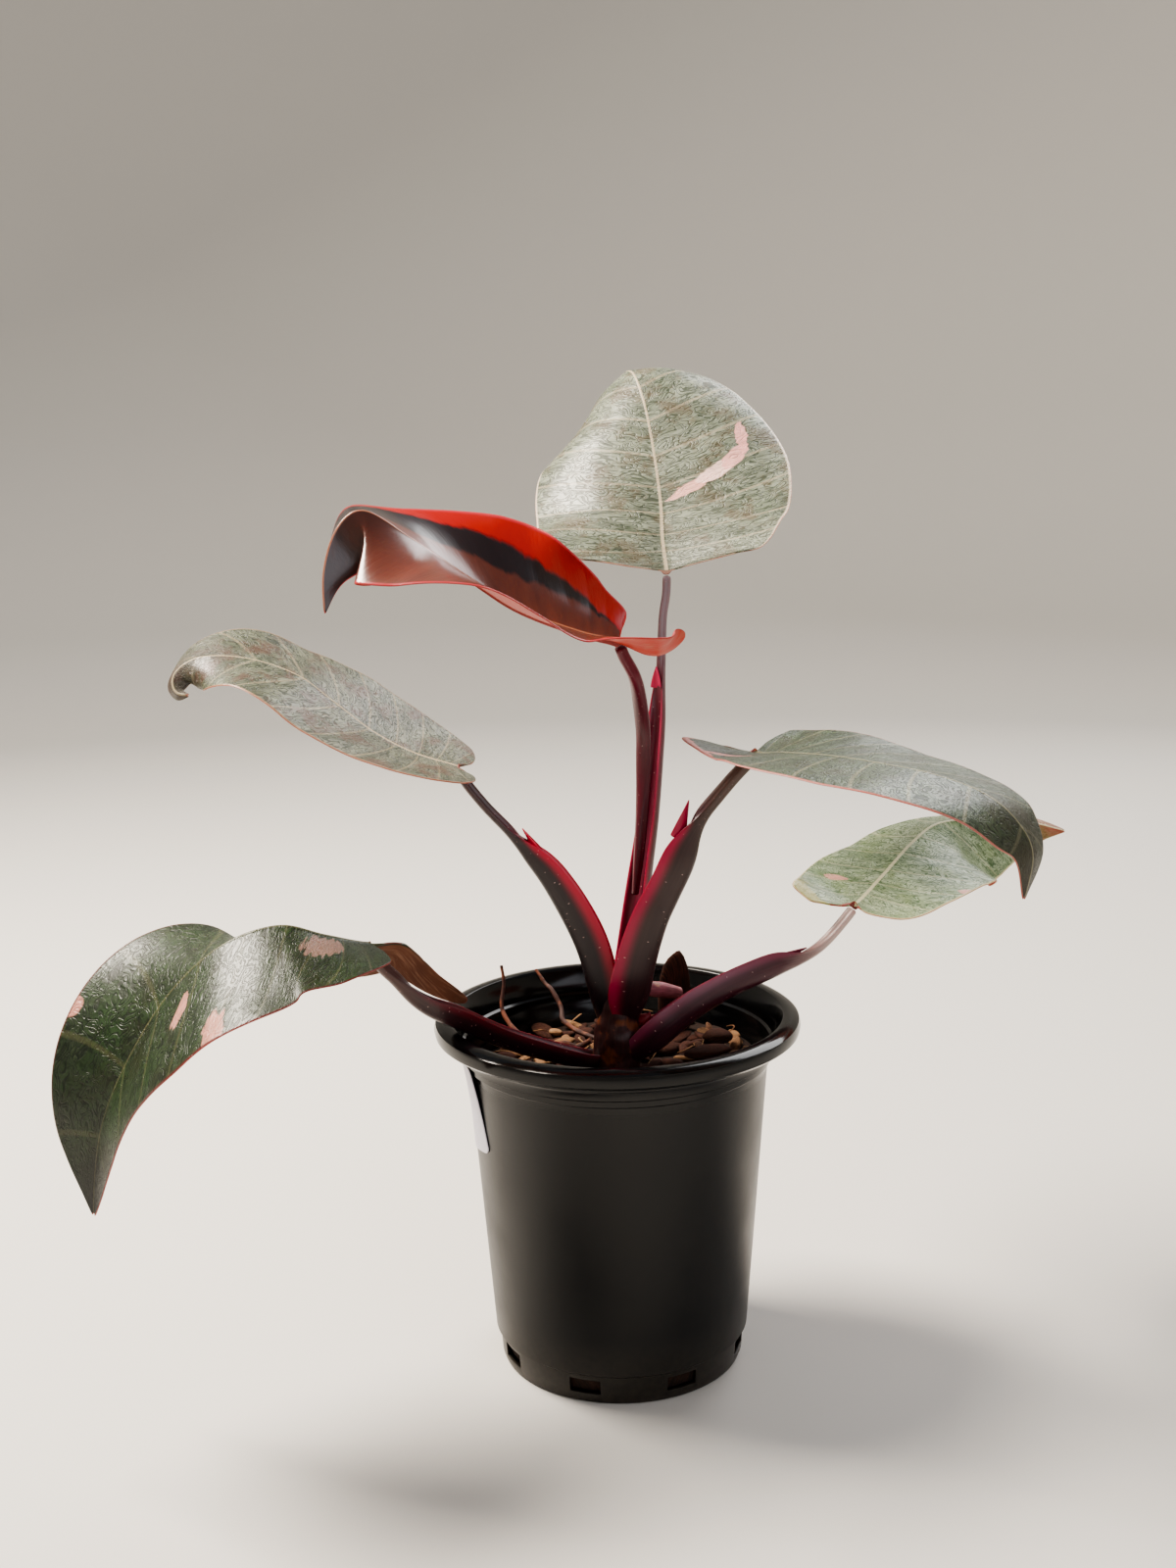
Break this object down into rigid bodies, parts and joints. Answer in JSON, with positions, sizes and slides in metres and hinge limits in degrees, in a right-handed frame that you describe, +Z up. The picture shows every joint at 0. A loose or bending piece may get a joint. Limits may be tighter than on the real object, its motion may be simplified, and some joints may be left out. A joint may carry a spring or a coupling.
{
  "type": "potted thai pink sunrise philodendron",
  "caption": "Young foliage plant in a round black nursery pot: heart-shaped arching leaves on sheathed petioles round a short stem, standing in bark mix.",
  "frame": {"origin": "middle of the pot's flat base, on the surface it stands on", "axes": "+Z up along the pot's axis; +X to the right and -Y towards a viewer who faces the plant as pictured"},
  "size_m": [0.4364, 0.2839, 0.424],
  "materials": {
    "pot": "black, satin, glossier on the rim",
    "potting_mix": "brown bark chips with dark fines between them",
    "label": "plain white, slightly glossy",
    "stem": "maroon skin, browner at the rings and the cut stub",
    "aerial_root": "matt, reddish brown",
    "petiole": "glossy maroon with thin bright red sheath margins",
    "leaf": "satin, deep green with pale midribs, silvery sheen and salmon pink blotches",
    "new_leaf": "glossy copper brown, maroon inside, bright red margin"
  },
  "bodies": {
    "root": {"pot": "pot", "potting_mix": "potting_mix", "label": "label", "stem": "stem", "aerial_root_1": "aerial_root", "aerial_root_2": "aerial_root", "aerial_root_3": "aerial_root", "petiole_a": "petiole", "leaf_a": "leaf", "petiole_b": "petiole", "leaf_b": "new_leaf", "petiole_c": "petiole", "leaf_c": "leaf", "petiole_d": "petiole", "leaf_d": "leaf", "petiole_e": "petiole", "leaf_e": "leaf", "petiole_f": "petiole", "leaf_f": "leaf"}
  },
  "joints": []
}
